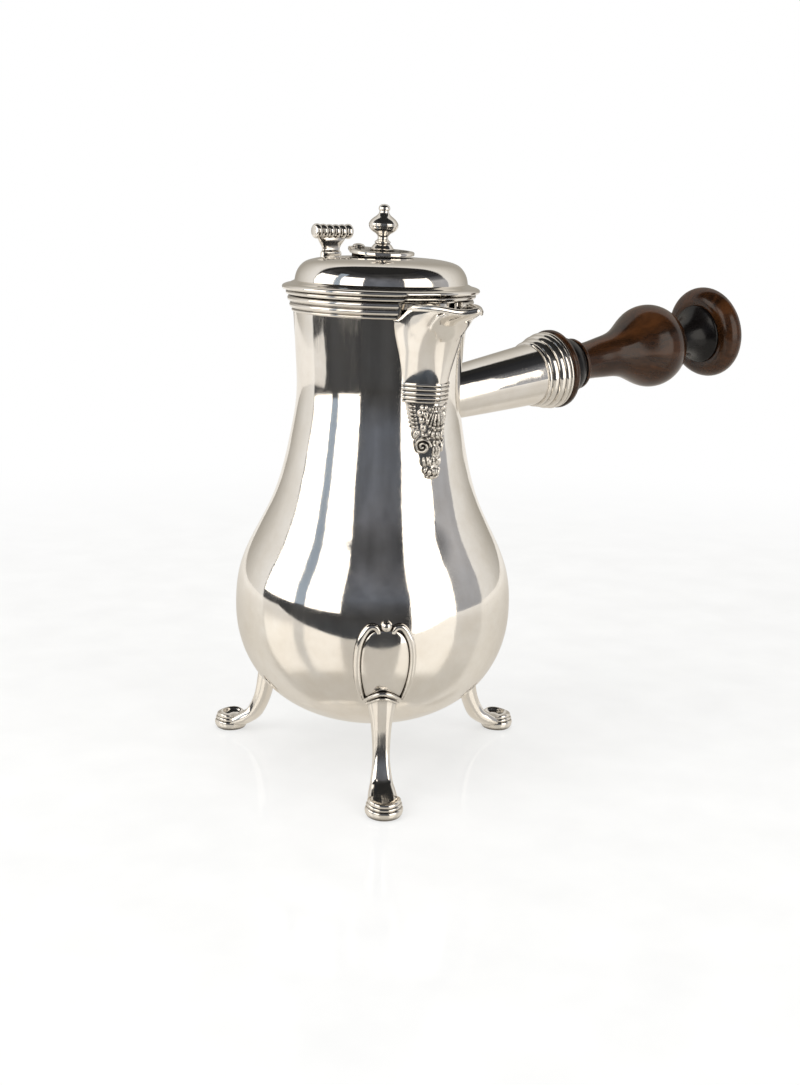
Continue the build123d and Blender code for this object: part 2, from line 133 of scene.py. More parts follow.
def add_mesh(name, bm):
    """An object in the frame, from a shape in millimetres from the pot's axis."""
    bmesh.ops.transform(bm, matrix=Matrix.Translation(pot_axis), verts=bm.verts)
    bmesh.ops.scale(bm, vec=(0.001, 0.001, 0.001), verts=bm.verts)
    mesh = bpy.data.meshes.new(name)
    bm.to_mesh(mesh)
    bm.free()
    return add_object(name, mesh)


def place(name, bm, body, nodes, finishes, slot="silver", crease=50, way=Matrix()):
    """Makes the finished piece, riding on its body. way moves it from the axis it was turned
    on, and edges sharper than crease degrees stay sharp."""
    bmesh.ops.transform(bm, matrix=way, verts=bm.verts)
    piece = add_mesh(name, bm)
    piece.data.shade_smooth()
    piece.data.set_sharp_from_angle(angle=radians(crease))
    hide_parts(*nodes)
    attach(piece, body)
    for finish in finishes:
        piece.data.materials.append(finish)
    return piece


def thicken(piece):
    """Gives a sheet its wall, on the inner side."""
    wall = piece.modifiers.new("wall", "SOLIDIFY")
    wall.thickness = WALL * 0.001
    wall.offset = -1


def colour(code):
    """Linear colour, with alpha, from an sRGB hex code."""
    parts = [int(code[i:i + 2], 16) / 255 for i in (1, 3, 5)]
    linear = [p / 12.92 if p <= 0.04045 else ((p + 0.055) / 1.055) ** 2.4 for p in parts]
    return (*linear, 1.0)


WHITE = (1, 1, 1, 1)


def add_node(tree, kind, links=(), stops=(), **settings):
    """Adds a shader node. links maps its sockets to values, to sockets, or to nodes whose
    first output is meant, and stops are a ramp's (position, hex code or grey value)."""
    made = tree.nodes.new("ShaderNode" + kind)
    for key, value in settings.items():
        setattr(made, key, value)
    for socket, value in dict(links).items():
        source = value.outputs[0] if isinstance(value, bpy.types.Node) else value
        if isinstance(source, bpy.types.NodeSocket):
            tree.links.new(source, made.inputs[socket])
        else:
            made.inputs[socket].default_value = value
    for index, (position, tone) in enumerate(stops):
        points = made.color_ramp.elements
        point = points[index] if index < len(points) else points.new(1.0)
        point.position = position
        point.color = colour(tone) if isinstance(tone, str) else (tone, tone, tone, 1)
    return made


def new_material(name):
    """An empty node material, with its tree and the point on the piece."""
    material = bpy.data.materials.new(name)
    material.use_nodes = True
    tree = material.node_tree
    tree.nodes.clear()
    return material, tree, add_node(tree, "TexCoord").outputs["Object"]


def silver_material(name, wave, scratch, polish, tarnish_and_shade, tones=("#f3efe9", "#ebe5dc")):
    """Sterling silver, which reflects nearly everything with a faint warmth.

    wave is the height in metres of the unevenness that the hammer leaves every 20 mm, which
    bends the edges of reflections. scratch is the height of the fine polishing lines. polish
    is the roughness of the best and the worst polished spots. tarnish_and_shade is how brown
    the recesses turn, where no cloth reaches, and also how much painted contact shade falls
    where neighbouring pieces or the floor close the piece in.
    """
    material, tree, point = new_material(name)
    hammer = add_node(tree, "TexNoise", {
        "Vector": point, "Scale": 48.0, "Detail": 1.5, "Roughness": 0.45})
    drawn = add_node(tree, "Mapping", {"Vector": point, "Scale": (1.0, 1.0, 0.06)})
    lines = add_node(tree, "TexNoise", {
        "Vector": drawn, "Scale": 1400.0, "Detail": 2.0, "Roughness": 0.6})
    clouds = add_node(tree, "TexNoise", {
        "Vector": point, "Scale": 90.0, "Detail": 4.0, "Roughness": 0.62})
    haze = add_node(tree, "MapRange", {
        "Value": clouds, "From Min": 0.3, "From Max": 0.75,
        "To Min": polish[0], "To Max": polish[1]})
    streaks = add_node(tree, "MapRange", {
        "Value": lines, "From Min": 0.35, "From Max": 0.75,
        "To Min": 0.0, "To Max": polish[1] * 0.5})
    roughness = add_node(tree, "Math", {0: haze, 1: streaks}, operation="ADD")
    bowed = add_node(tree, "Bump", {"Height": hammer, "Strength": 1.0, "Distance": wave})
    lined = add_node(tree, "Bump", {
        "Height": lines, "Strength": 1.0, "Distance": scratch, "Normal": bowed})
    shade = add_node(tree, "ValToRGB", {"Fac": clouds}, stops=[(0.3, tones[0]), (0.7, tones[1])])
    # Occlusion counts neighbouring pieces and the floor too, so this brown is partly sulphide in
    # the hollows and partly painted contact shade.
    if tarnish_and_shade:
        occlusion = add_node(tree, "AmbientOcclusion", {"Distance": 0.0022}, samples=6, only_local=False)
        tarnish_and_shade_mask = add_node(tree, "ValToRGB", {"Fac": occlusion.outputs["AO"]},
                          stops=[(0.42, 1.0), (0.9, 0.0)])
        amount = add_node(tree, "Math", {0: tarnish_and_shade_mask, 1: tarnish_and_shade}, operation="MULTIPLY")
        shade = add_node(tree, "Mix", {
            "Factor": amount, 6: shade, 7: colour("#382e22")}, data_type="RGBA").outputs[2]
    surface = add_node(tree, "BsdfPrincipled", {
        "Base Color": shade, "Metallic": 1.0, "Roughness": roughness, "Normal": lined})
    add_node(tree, "OutputMaterial", {"Surface": surface})
    return material


# Raised sheet: mirror bright, with the gentle unevenness of planishing.
raised_silver = silver_material("raised polished silver", 0.00024, 0.000005, (0.035, 0.085), 0)

bm = lathe(fair_from_axis(VESSEL_OUTLINE, 10), steps=192)
splay = (TOP_HALF - FOOT_HALF) / (OPENING_TOP - OPENING_FOOT)
for x, z, normal in ((FOOT_HALF, OPENING_FOOT, (1, 0, -splay)),
                     (-FOOT_HALF, OPENING_FOOT, (-1, 0, -splay)),
                     (0, OPENING_FOOT, (0, 0, 1)), (0, OPENING_TOP, (0, 0, 1))):
    front = [f for f in bm.faces if f.calc_center_median().y < 0
             and f.calc_center_median().z > OPENING_FOOT - 12]
    touched = {part for f in front for part in (f, *f.edges, *f.verts)}
    bmesh.ops.bisect_plane(bm, geom=list(touched), plane_co=(x, 0, z), plane_no=normal, dist=1e-5)
gone = []
for f in bm.faces:
    middle = f.calc_center_median()
    half = FOOT_HALF + (middle.z - OPENING_FOOT) * splay
    if middle.y < 0 and abs(middle.x) < half and OPENING_FOOT < middle.z < OPENING_TOP:
        gone.append(f)
bmesh.ops.delete(bm, geom=gone, context="FACES")
face_out(bm)
thicken(place("vessel_body", bm, "pot", ["vessel"], [raised_silver], crease=60))


# ---- Rim moulding ----
# Four reeds drawn as one strip, wrapped round the mouth and soldered on. The top reed runs
# all the way round; the lower three stop on each side of the spout.

RIM_GAP = radians(24.5)
TOP_REED = [
    (36.55, 208.9), (40.2, 208.9), (40.6, 208.5), (40.65, 207.9), (40.3, 207.3), (39.3, 207.05),
    (36.55, 207.05)]
LOWER_REEDS = [
    (36.55, 207.0), (38.6, 206.95), (39.5, 206.6), (39.95, 205.7), (39.7, 204.7), (38.9, 204.2),
    (38.5, 204.05), (38.45, 203.9), (38.8, 203.6), (39.05, 202.9), (38.8, 202.0), (38.2, 201.5),
    (37.75, 201.3), (37.7, 201.15), (38.0, 200.9), (38.1, 200.5), (37.8, 200.05), (37.2, 199.85),
    (36.55, 199.8)]

# Drawn strips keep brown sulphide in their grooves, with painted contact shade where they meet
# other pieces, and are a little softer.
moulded_silver = silver_material("drawn silver moulding", 0.00006, 0.000002, (0.055, 0.12), 0.9)


def join(bm, other):
    """Adds another shape to this one."""
    extra = bpy.data.meshes.new("extra")
    other.to_mesh(extra)
    other.free()
    bm.from_mesh(extra)
    bpy.data.meshes.remove(extra)


bm = lathe(TOP_REED, steps=192, closed=True)
lower = lathe(LOWER_REEDS, steps=176, turn=2 * pi - 2 * RIM_GAP, start=RIM_GAP - pi / 2,
              closed=True)
bmesh.ops.holes_fill(lower, edges=[e for e in lower.edges if e.is_boundary], sides=0)
join(bm, lower)
face_out(bm)
place("rim_reeds", bm, "pot", ["rim_moulding"], [moulded_silver])


# ---- Spout ----
# A beak of sheet silver seamed to the neck, with a rolled wire round its lip and a reeded
# strip round its foot.

NECK = 36.5
# How far inside the neck's outline the sheet ends.
ROOT_SINK = 2.0
# height, half width at the wall, how far the keel stands out, fullness of the arch
BEAK_LEVELS = [
    (166.0, 10.9, 43.4, 1.5), (174.5, 11.6, 44.0, 1.52), (180.0, 12.6, 44.9, 1.66),
    (186.0, 13.9, 46.4, 1.84), (192.0, 15.0, 48.8, 1.96), (196.5, 15.8, 51.6, 1.92),
    (200.4, 16.4, 56.0, 1.8), (203.2, 16.8, 61.2, 1.62), (206.8, 17.2, 68.7, 1.34)]
DROP_LEVELS = [
    (133.6, 3.0, 40.4, 2.2), (134.6, 4.6, 41.6, 2.1), (137.0, 5.6, 42.2, 2.0),
    (140.0, 6.2, 42.4, 1.9), (145.0, 7.0, 42.8, 1.8), (150.0, 7.8, 43.2, 1.7),
    (158.8, 9.4, 43.5, 1.6), (166.9, 10.9, 43.5, 1.52)]
LIP_Z = 205.7


def level_at(levels, height):
    """The spout's half width, keel and fullness at any height."""
    line = np.array(fair(levels, 12))
    return [float(np.interp(height, line[:, 0], line[:, k])) for k in (1, 2, 3)]


def arch_at(levels, height, proud=0.0, steps=48):
    """Points across the spout at one height, from its +X root round the keel to its -X root."""
    half, keel, fullness = level_at(levels, height)
    root = sqrt(NECK ** 2 - half ** 2) - ROOT_SINK
    arch = []
    for step in range(steps + 1):
        turn = pi * step / steps
        side = abs(cos(turn)) ** (2 / fullness) * (half + proud) * (1 if turn < pi / 2 else -1)
        out = root + (keel + proud - root) * sin(turn) ** (2 / fullness)
        arch.append(Vector((side, -out, height)))
    return arch


def skin(bm, loops, closed_ends=(0, -1)):
    """Bridges each line or loop of edges to the next, and fills the ends that are named."""
    for below, above in zip(loops, loops[1:]):
        bmesh.ops.bridge_loops(bm, edges=below + above)
    for end in closed_ends:
        bmesh.ops.holes_fill(bm, edges=loops[end], sides=0)


def sweep_levels(arches, closed_ends=()):
    """Sheet through a stack of lines of points."""
    bm = bmesh.new()
    rows = []
    for arch in arches:
        verts = [bm.verts.new(point) for point in arch]
        rows.append([bm.edges.new(pair) for pair in zip(verts, verts[1:])])
    skin(bm, rows, closed_ends)
    return bm


def face_away(bm, inside):
    """Turns every face of an open sheet away from a point behind it."""
    bmesh.ops.recalc_face_normals(bm, faces=bm.faces)
    for f in bm.faces:
        if f.normal.dot(f.calc_center_median() - Vector(inside)) < 0:
            f.normal_flip()


# How far the lip's edge leaves the level, by distance out: it rises in the middle of each
# side, dips before the tip, and turns up at the tip.
LIP_WAVE = [
    (42.0, 0.0), (48.0, 0.3), (53.0, 0.35), (57.0, 0.05), (60.0, -0.4), (63.0, -0.55),
    (65.5, 0.0), (68.0, 1.2), (70.0, 2.2)]
lip_wave = np.array(fair(LIP_WAVE, 6))
# The two wings of the lip slope down to the neck: how far out the slope ends and its length,
# and the height it starts from. The flare below it starts at FLARE_Z.
WING_OUT, WING_RUN, WING_Z = 34.5, 8.5, 199.9
FLARE_Z = 186


def wing_height(y):
    """The height of the lip's edge."""
    share = min(max((-y - WING_OUT) / WING_RUN, 0.0), 1.0)
    edge = LIP_Z + float(np.interp(-y, lip_wave[:, 0], lip_wave[:, 1]))
    return WING_Z + (edge - WING_Z) * share * share * (3 - 2 * share)


heights = [*np.linspace(168.0, 198.0, 24), *np.linspace(199.0, LIP_Z, 12)]
bm = sweep_levels([arch_at(BEAK_LEVELS, height) for height in heights])
for v in bm.verts:
    if v.co.z > FLARE_Z:
        stretch = (wing_height(v.co.y) - FLARE_Z) / (LIP_Z - FLARE_Z)
        v.co.z = FLARE_Z + (v.co.z - FLARE_Z) * stretch
face_away(bm, (0, -38, 170))
thicken(place("spout_beak_sheet", bm, "pot", ["spout_beak"], [raised_silver], crease=80))


def loop_of(bm, points):
    """A closed loop of edges through the points."""
    ring = [bm.verts.new(point) for point in points]
    return [bm.edges.new(pair) for pair in zip(ring, ring[1:] + ring[:1])]


def strand(bm, points, radius, sides):
    """Adds a round wire along points of (place, radius as a share)."""
    path = bpy.data.curves.new("path", "CURVE")
    path.dimensions = "3D"
    path.bevel_depth = radius
    path.bevel_resolution = sides // 4
    path.use_fill_caps = True
    spline = path.splines.new("POLY")
    spline.points.add(len(points) - 1)
    for (spot, share), target in zip(points, spline.points):
        target.co = (*spot, 1.0)
        target.radius = share
    maker = add_object("path", path)
    bpy.context.view_layer.update()
    tube = bpy.data.meshes.new_from_object(maker.evaluated_get(
        bpy.context.evaluated_depsgraph_get()))
    bm.from_mesh(tube)
    bpy.data.objects.remove(maker)
    bpy.data.curves.remove(path)
    bpy.data.meshes.remove(tube)


# The lip's edge is thickened by a strip that stands out and down like a narrow flange.
LIP_SECTION = [
    (-1.1, 0.25), (-0.9, 0.6), (-0.2, 0.8), (0.6, 0.75), (1.1, 0.5), (1.35, 0.0), (1.35, -0.7),
    (1.2, -1.45), (0.9, -1.8), (0.45, -1.75), (0.2, -1.3), (0.0, -1.1), (-0.6, -0.7)]
# It starts this far out, and grows to its full section over the first few steps.
LIP_START, LIP_GROWS = 40.6, 3
bm = bmesh.new()
edge = [Vector((p.x, p.y, wing_height(p.y))) for p in arch_at(BEAK_LEVELS, LIP_Z, steps=96)
        if p.y < -LIP_START]
loops = []
for i, point in enumerate(edge):
    along = edge[min(i + 1, len(edge) - 1)] - edge[max(i - 1, 0)]
    outward = Vector((along.y, -along.x, 0)).normalized()
    if outward.y > 0 or outward.dot(point - Vector((0, -30, point.z))) < 0:
        outward = -outward
    grown = min(1.0, 0.35 + 0.65 * min(i, len(edge) - 1 - i) / LIP_GROWS)
    loops.append(loop_of(bm, [point + outward * (a * grown) + Vector((0, 0, b * grown))
                              for a, b in LIP_SECTION]))
skin(bm, loops)
face_out(bm)
place("spout_lip_roll", bm, "pot", ["spout_lip_wire"], [moulded_silver], crease=45)

# Foot strip: height and how far it stands out, five soft reeds between sharp grooves.
STRIP_REEDS = [
    (174.2, -0.1), (174.1, 0.5), (173.6, 0.75), (173.1, 0.5), (172.95, 0.1), (172.8, 0.5),
    (172.0, 0.85), (171.25, 0.5), (171.1, 0.1), (170.95, 0.5), (170.1, 0.85), (169.35, 0.5),
    (169.2, 0.1), (169.05, 0.5), (168.3, 0.85), (167.6, 0.5), (167.45, 0.1), (167.3, 0.5),
    (166.8, 0.75), (166.3, 0.5), (166.15, -0.1)]
bm = sweep_levels([arch_at(BEAK_LEVELS, height, proud) for height, proud in STRIP_REEDS])
face_away(bm, (0, -36, 170))
place("spout_foot_strip", bm, "pot", ["spout_band"], [moulded_silver])


# The drop below the strip is a casting: a ribbed shell over two tiers of lobes, a stem and
# a rounded leaf, between two borders of short bars that end in volutes. Each lobe is
# (across, height, half width, half length, turn in degrees, how far it stands out), and is
# repeated on both sides of the middle. Each bar is (across, height).
DROP_LOBES = [
    (0.0, 164.1, 0.55, 1.0, 0, 0.9), (1.15, 164.1, 0.5, 0.95, 8, 0.9),
    (2.3, 164.0, 0.5, 0.9, 16, 0.85), (3.4, 163.8, 0.5, 0.9, 24, 0.8),
    (0.0, 159.6, 0.62, 3.3, 0, 1.35), (1.35, 159.5, 0.55, 3.3, 9, 1.3),
    (2.45, 159.7, 0.5, 3.2, 14, 1.2), (3.4, 160.4, 0.45, 2.6, 20, 1.0),
    (0.0, 156.1, 1.0, 0.8, 0, 1.55), (1.8, 156.3, 0.9, 0.8, 0, 1.45),
    (3.1, 156.9, 0.7, 0.7, 0, 1.2),
    (0.0, 153.2, 1.0, 1.9, 0, 1.3), (1.9, 153.5, 0.85, 1.7, 8, 1.25),
    (3.2, 154.2, 0.6, 1.2, 20, 1.0), (0.0, 150.1, 0.75, 1.1, 0, 1.2),
    (1.3, 150.3, 0.6, 1.2, 18, 1.1), (0.0, 146.6, 0.5, 2.2, 0, 1.0),
    (1.15, 146.6, 0.5, 2.1, 3, 1.0), (0.8, 142.2, 0.5, 2.0, 6, 1.1),
    (2.9, 142.0, 0.85, 1.9, -6, 1.15), (1.9, 141.6, 0.5, 1.8, 0, 1.0),
    (4.6, 141.4, 0.8, 1.9, -12, 0.9), (0.0, 137.6, 1.2, 1.8, 0, 1.35),
    (2.1, 137.2, 1.0, 1.6, 6, 1.2), (3.9, 138.0, 0.9, 1.5, 14, 1.0),
    (1.1, 135.2, 0.8, 0.8, 0, 1.0), (2.9, 135.3, 0.7, 0.8, 0, 0.9),
    (9.0, 153.0, 1.2, 2.3, 26, 0.95), (6.0, 164.2, 1.4, 1.2, -20, 0.9),
    (7.3, 162.0, 1.2, 1.5, 30, 0.95), (5.1, 161.4, 1.1, 1.7, -12, 1.0),
    (6.7, 159.2, 1.1, 1.4, 18, 0.9), (4.4, 158.8, 0.7, 1.5, -6, 0.95),
    (6.0, 155.9, 1.1, 1.6, 0, 0.85), (5.5, 153.0, 1.3, 0.9, 14, 0.8),
    (3.6, 151.6, 1.1, 0.6, -24, 0.95), (2.8, 149.2, 0.6, 1.2, 10, 0.8)]
DROP_BARS = [
    (11.2, 164.8), (11.0, 163.1), (10.7, 161.4), (10.4, 159.7), (10.1, 158.0), (9.8, 156.3)]
# The middle of a volute, the radii of its two turns, how much each closes in, half the width
# of its ridge, and how far it stands out.
VOLUTE = (5.7, 148.1)
VOLUTE_TURNS, VOLUTE_CLOSES = (3.4, 1.75), 1.6
VOLUTE_HALF, VOLUTE_RISE = 0.62, 1.15
# Across is measured as seen from 36 degrees to the side, whose sine and cosine these are.
SEEN_OUT, SEEN_ACROSS = 0.588, 0.809
# How deep the ground between the lobes lies under the spout's own outline.
GROUND_SINK = 0.35


def leaf_relief(across, height):
    """How far the casting stands out, in mm, over arrays of places on its face."""
    best = np.zeros_like(across)
    lobes = DROP_LOBES + [(u, z, 1.5, 0.62, 6, 0.95) for u, z in DROP_BARS]
    for middle, level, half, reach, turn, rise in lobes:
        for side in (1, -1):
            dx, dz = across - side * middle, height - level
            c, s = cos(radians(turn * side)), sin(radians(turn * side))
            u, v = dx * c + dz * s, dz * c - dx * s
            inside = np.clip(1 - (u / half) ** 2 - (v / reach) ** 2, 0, None)
            vein = 0.3 * np.clip(1 - np.abs(u) / 0.22, 0, None) if reach > 1.5 else 0
            best = np.maximum(best, rise * inside ** 0.5 - vein * (inside > 0))
    dx, dz = np.abs(across) - VOLUTE[0], height - VOLUTE[1]
    radius = np.hypot(dx, dz)
    turned = (np.arctan2(dz, dx) + pi) / (2 * pi)
    for ring in VOLUTE_TURNS:
        ridge = 1 - ((radius - ring + VOLUTE_CLOSES * (1 - turned)) / VOLUTE_HALF) ** 2
        best = np.maximum(best, VOLUTE_RISE * np.clip(ridge, 0, None) ** 0.5)
    return best


ACROSS_STEPS = 150
MIDDLE = ACROSS_STEPS // 2
grid = np.array([[tuple(point) for point in arch_at(DROP_LEVELS, height, steps=ACROSS_STEPS)]
                 for height in np.linspace(133.6, 166.9, 190)])
keel = grid[:, MIDDLE:MIDDLE + 1, 1]
seen = SEEN_OUT * (grid[:, :, 1] - keel) + SEEN_ACROSS * np.abs(grid[:, :, 0])
relief = leaf_relief(seen * np.where(grid[:, :, 0] >= 0, 1, -1), grid[:, :, 2])
tangent = np.gradient(grid, axis=1)
outward = np.stack([-tangent[:, :, 1], tangent[:, :, 0], np.zeros_like(relief)], axis=2)
outward /= np.linalg.norm(outward, axis=2, keepdims=True) + 1e-9
outward *= np.where(outward[:, MIDDLE, 1] < 0, 1, -1)[:, None, None]
bm = sweep_levels(grid + outward * (relief - GROUND_SINK)[:, :, None], closed_ends=(0,))
bmesh.ops.recalc_face_normals(bm, faces=bm.faces)
if sum(f.normal.y for f in bm.faces) > 0:
    bmesh.ops.reverse_faces(bm, faces=bm.faces)
# Cast and chased: as soft as the drawn strips, with coarser scratches, and the same sulphide brown
# and painted contact shade in its hollows.
cast_silver = silver_material("cast chased silver", 0.00005, 0.000003, (0.055, 0.12), 0.9)
place("spout_leaf_drop", bm, "pot", ["spout_drop"], [cast_silver], crease=60)


# ---- Legs ----
# Three lost-wax castings from one pattern. Each has a shield in a raised border against the
# body, a hollowed front between two ridges, and a spoon foot on a small stepped pad.

LEG_ANGLES = {"handle_leg": -3.0, "back_leg": 121.0, "front_leg": -119.5}
# out, height, width, thickness, slope in degrees, half width and depth of the hollow strip
LEG_STATIONS = [
    (51.6, 47.6, 12.2, 8.0, -82, 1.6, 0.1), (52.0, 45.2, 13.2, 8.7, -85, 1.6, 0.1),
    (51.9, 42.0, 13.0, 9.0, -87, 1.5, 0.1), (52.0, 37.5, 10.8, 9.0, -86, 1.45, 0.1),
    (52.6, 31.0, 8.6, 8.6, -81.5, 1.4, 0.1), (53.7, 25.0, 7.7, 7.9, -76, 1.4, 0.08),
    (55.4, 18.0, 7.4, 7.2, -69, 1.5, 0.08), (57.9, 12.2, 8.6, 6.8, -62, 2.0, 0.12),
    (61.6, 7.6, 10.8, 6.4, -44, 3.0, 0.4), (66.4, 4.9, 12.4, 5.8, -22, 3.8, 0.8),
    (71.0, 3.2, 12.4, 4.2, -8, 4.2, 0.8)]
# The tube round the shield, from its foot over the shoulder to its curled end: side,
# height, and thickness as a share.
SHIELD_TUBE = [
    (8.3, 44.8, 0.85), (9.5, 48.5, 0.92), (10.7, 54.0, 1.0), (11.35, 60.0, 1.0),
    (11.3, 66.0, 1.0), (10.3, 71.3, 1.0), (8.3, 75.4, 1.0), (6.0, 77.4, 0.95), (4.2, 77.1, 0.85),
    (3.2, 75.9, 0.75), (3.0, 74.7, 0.6)]
# How far the tube's middle stands off the body and its radius, and the same for the painted
# shadow line under it, a wider dark tube that stops short of the curled end.
TUBE_PROUD, TUBE_RADIUS = 0.75, 1.5
SHADOW_LINE_PROUD, SHADOW_LINE_RADIUS, SHADOW_LINE_SHORT = -0.35, 1.78, 6
# Two arched mouldings close the shield over the limb: height of the crown and of the ends,
# half width, how far the crown stands off the body, and radius.
SHIELD_ARCHES = [(48.5, 44.6, 7.8, 2.2, 1.0), (46.5, 42.5, 6.9, 2.7, 0.65)]
BALL_Z, BALL_RADIUS = 77.9, 2.4
SHIELD_FIELD = [
    (0, 45.3), (7.0, 45.4), (8.4, 49.0), (9.6, 54.0), (10.25, 59.5), (10.2, 65.2), (9.2, 70.4),
    (7.3, 74.0), (4.4, 76.0), (0, 76.4)]
# Across the field's edge: how far in, and how far it stands off the body.
FIELD_EDGE = [(0.0, 0.1), (0.12, 0.55), (0.35, 0.95), (0.8, 1.2), (1.5, 1.3)]
# Inside its edge the field swells a little, towards its middle.
FIELD_MIDDLE, FIELD_SWELL = 60, 0.7

vessel_line = np.array(fair_from_axis(VESSEL_OUTLINE, 10))


def vessel_radius(height):
    """The vessel's radius outside, at a height."""
    return float(np.interp(height, vessel_line[:, 1], vessel_line[:, 0]))


def on_vessel(side, height, proud):
    """The point of a leg's frame that stands off the vessel at a side distance and height."""
    radius = vessel_radius(height)
    lean = Vector((1, 0, radius - vessel_radius(height + 1))).normalized()
    away = radius + proud * lean.x
    turn = side / radius
    return Vector((away * cos(turn), away * sin(turn), height + proud * lean.z))


def leg_loop(bm, out, height, width, thickness, slope, strip, hollow):
    """One section of the limb: a hollow strip between two ridges, flanks and a round back.

    Its right side is listed from the middle of the front, as (across, towards the front).
    """
    c, s = cos(radians(slope)), sin(radians(slope))
    half, deep = width / 2, thickness / 2
    side = [(0, deep - hollow), (strip * 0.5, deep - hollow * 0.8),
            (strip * 0.85, deep - hollow * 0.38), (strip * 0.97, deep - hollow * 0.1),
            (strip + 0.15, deep), (strip + 0.4, deep - 0.05)]
    flank = half - strip - 0.4
    for share in (0.2, 0.4, 0.6, 0.75, 0.87, 0.95, 1.0):
        side.append((strip + 0.4 + flank * share,
                     deep - 0.05 - 0.42 * flank * share - deep * 0.6 * share ** 5))
    level = min(side[-1][1], deep * 0.2)
    for turn in (12, 27, 44, 62, 78, 90):
        side.append((half * cos(radians(turn)) ** 0.8,
                     level - (deep + level) * sin(radians(turn))))
    ring = side + [(-x, y) for x, y in side[-2:0:-1]]
    return loop_of(bm, [(out - s * y, x, height + c * y) for x, y in ring])


def outline_inset(outline, inset):
    """A closed outline moved inwards by a distance."""
    moved = []
    for i, point in enumerate(outline):
        before, after = outline[i - 1], outline[(i + 1) % len(outline)]
        along = (Vector(after) - Vector(before)).normalized()
        moved.append((point[0] - along.y * inset, point[1] + along.x * inset))
    return moved


# The foot, from its sole up: height at the toe and at the heel, and the radius there. Each
# ring's sides stand higher than its toe by SIDE_LIFT of its height, and its heel is drawn in.
FOOT_LEVELS = [
    (0.0, 0.0, 6.5), (0.35, 0.3, 7.1), (1.3, 1.15, 7.7), (2.4, 2.1, 7.95), (3.3, 2.9, 7.9),
    (3.8, 3.35, 7.6), (3.95, 3.5, 7.15), (4.15, 3.65, 7.35), (4.7, 4.1, 7.55), (5.2, 4.55, 7.35),
    (5.4, 4.75, 6.9), (5.6, 4.9, 7.0), (6.3, 5.5, 7.0), (6.85, 5.95, 6.75), (7.05, 6.1, 6.35),
    (6.9, 6.0, 5.9), (6.1, 5.4, 5.4), (5.3, 4.8, 4.6), (4.7, 4.5, 3.2), (4.4, 4.3, 1.4)]
SIDE_LIFT = 0.16
HEEL_SHORTER, HEEL_NARROWER = 0.1, 0.15
FOOT_OUT = 72.0
FOOT_SIDES = 64


def make_leg():
    """One leg standing along +X, as a new bmesh."""
    bm = bmesh.new()
    skin(bm, [leg_loop(bm, *station) for station in fair(LEG_STATIONS, 7)])

    loops = []
    for toe, heel, radius in FOOT_LEVELS:
        ring = []
        for step in range(FOOT_SIDES):
            turn = 2 * pi * step / FOOT_SIDES
            c, s = cos(turn), sin(turn)
            back = max(0.0, -c)
            level = heel + (toe - heel) * ((1 + c) / 2) ** 0.8
            ring.append((FOOT_OUT + radius * c * (1 - HEEL_SHORTER * back),
                         radius * s * (1 - HEEL_NARROWER * back),
                         level * (1 + SIDE_LIFT * s * s)))
        loops.append(loop_of(bm, ring))
    skin(bm, loops)

    right = fair(SHIELD_FIELD, 6)
    ring = right + [(-x, z) for x, z in right[-2:0:-1]]
    loops = [loop_of(bm, [on_vessel(x, z, proud) for x, z in outline_inset(ring, inset)])
             for inset, proud in FIELD_EDGE]
    edge_inset, edge_proud = FIELD_EDGE[-1]
    for share in (0.85, 0.7, 0.55, 0.4, 0.25, 0.1):
        proud = edge_proud + FIELD_SWELL * (1 - share ** 2)
        loops.append(loop_of(bm, [
            on_vessel(x * share, FIELD_MIDDLE + (z - FIELD_MIDDLE) * share, proud)
            for x, z in outline_inset(ring, edge_inset)]))
    skin(bm, loops, closed_ends=(-1,))

    tube = fair(SHIELD_TUBE, 5)
    for side in (1, -1):
        strand(bm, [(on_vessel(x * side, z, TUBE_PROUD), share) for x, z, share in tube],
               TUBE_RADIUS, sides=16)
        # A wider tube sunk into the body, in the dark silver: a painted shadow line along the tube.
        known = len(bm.faces)
        strand(bm, [(on_vessel(x * side, z, SHADOW_LINE_PROUD), share)
                    for x, z, share in tube[:-SHADOW_LINE_SHORT]], SHADOW_LINE_RADIUS, sides=16)
        bm.faces.ensure_lookup_table()
        for f in bm.faces[known:]:
            f.material_index = 1
    for crown, foot, reach, proud, radius in SHIELD_ARCHES:
        arc = []
        for step in range(-12, 13):
            rise = cos(step / 12 * pi / 2)
            arc.append((on_vessel(reach * step / 12, foot + (crown - foot) * rise,
                                  1.0 + (proud - 1.0) * rise ** 0.7), 0.7 + 0.3 * rise))
        strand(bm, arc, radius, sides=12)
    ball = bmesh.ops.create_uvsphere(bm, u_segments=32, v_segments=20, radius=BALL_RADIUS)
    bmesh.ops.translate(bm, verts=ball["verts"], vec=on_vessel(0, BALL_Z, 1.0))
    return bm


# Nearly black silver as painted shade: along the shield's tube, under the cover and its washer.
painted_shade_silver = silver_material("silver darkened as painted shade", 0.0001, 0.00001, (0.3, 0.5), 0,
                                ("#3b332b", "#1f1a16"))

for name, angle in LEG_ANGLES.items():
    bm = make_leg()
    face_out(bm)
    place("cast_" + name, bm, "pot", [name], [cast_silver, painted_shade_silver],
          way=Matrix.Rotation(radians(angle), 4, "Z"))


# ---- Handle ----
# A tapered silver tube soldered to the neck, with a moulded ferrule at its mouth, holds the
# tenon of a turned handle. The collars and neck are stained black, and the rest is brown.

HANDLE_Z = 157.4
HANDLE_RISE = 8.26
handle_way = (Matrix.Translation((0, 0, HANDLE_Z))
              @ Matrix.Rotation(radians(90 - HANDLE_RISE), 4, "Y"))


def face_open_tube(bm):
    """Turns the faces of an open tube outwards. Its axis lies in the handle's plane."""
    bmesh.ops.recalc_face_normals(bm, faces=bm.faces)
    if sum(f.normal.y * f.calc_center_median().y for f in bm.faces) < 0:
        bmesh.ops.reverse_faces(bm, faces=bm.faces)


